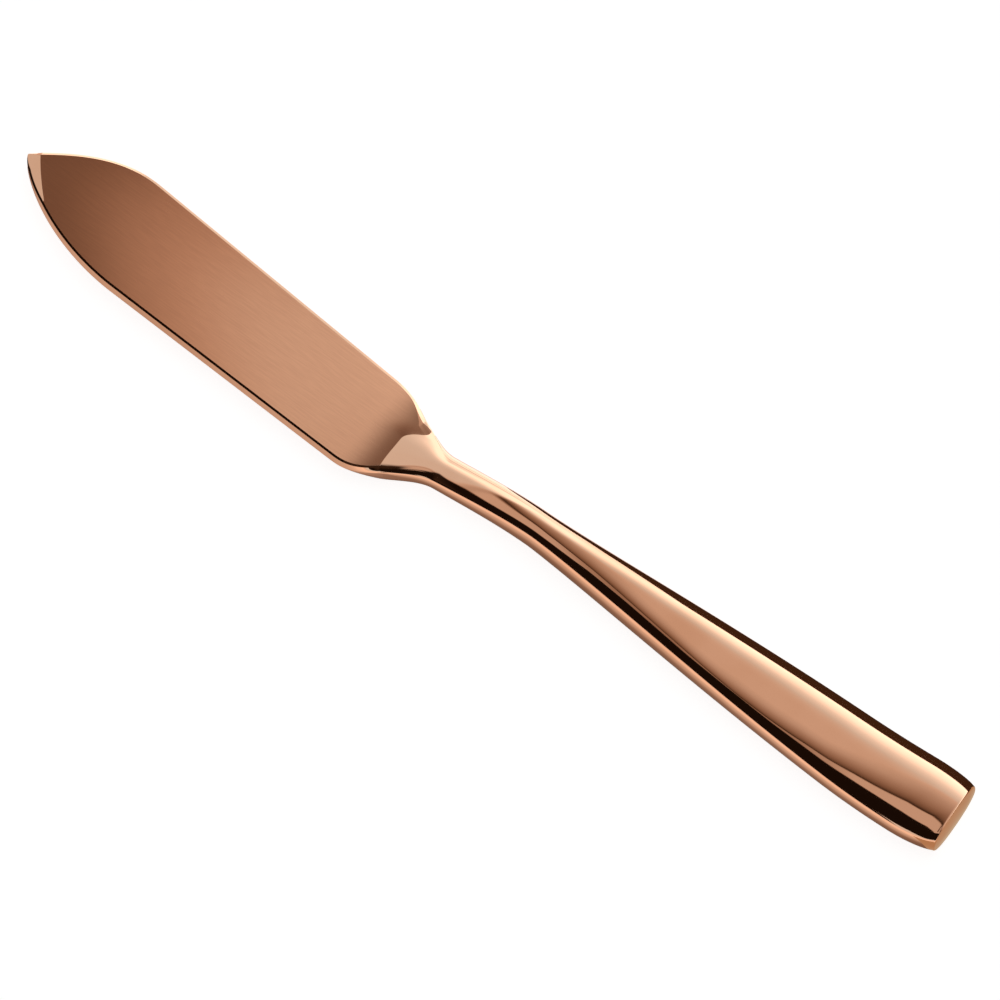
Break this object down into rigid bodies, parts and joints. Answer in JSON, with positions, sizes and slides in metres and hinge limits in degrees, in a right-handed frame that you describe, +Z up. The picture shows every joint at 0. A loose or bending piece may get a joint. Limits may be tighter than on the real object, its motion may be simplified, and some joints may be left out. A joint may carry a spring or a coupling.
{
  "type": "butter knife",
  "caption": "Metal table butter knife with a leaf-shaped satin blade, a polished bolster and neck, and a flared hollow handle cut square at the butt, for spreading butter.",
  "frame": {"origin": "middle of the knife's box in plan, on the ground that its handle rests on", "axes": "+X from the tip of the blade to the butt, +Y to the spine side of the blade, +Z up from the ground"},
  "size_m": [0.1702, 0.0186, 0.0073],
  "materials": {
    "forged_blade": "stainless steel with a rose-gold coating, satin on the blade and polished on the bolster",
    "braze": "braze, ground flush and polished under the rose-gold coating",
    "handle_shell": "pressed stainless steel, mirror polished, with a rose-gold coating",
    "butt_cap": "stainless steel, polished, with a rose-gold coating",
    "filler": "cast cement, matt"
  },
  "bodies": {
    "root": {"blade": "forged_blade", "bolster_braze_ring": "braze", "handle_front_shell": "handle_shell", "handle_back_shell": "handle_shell", "butt_plate": "butt_cap", "handle_filler": "filler"}
  },
  "joints": []
}
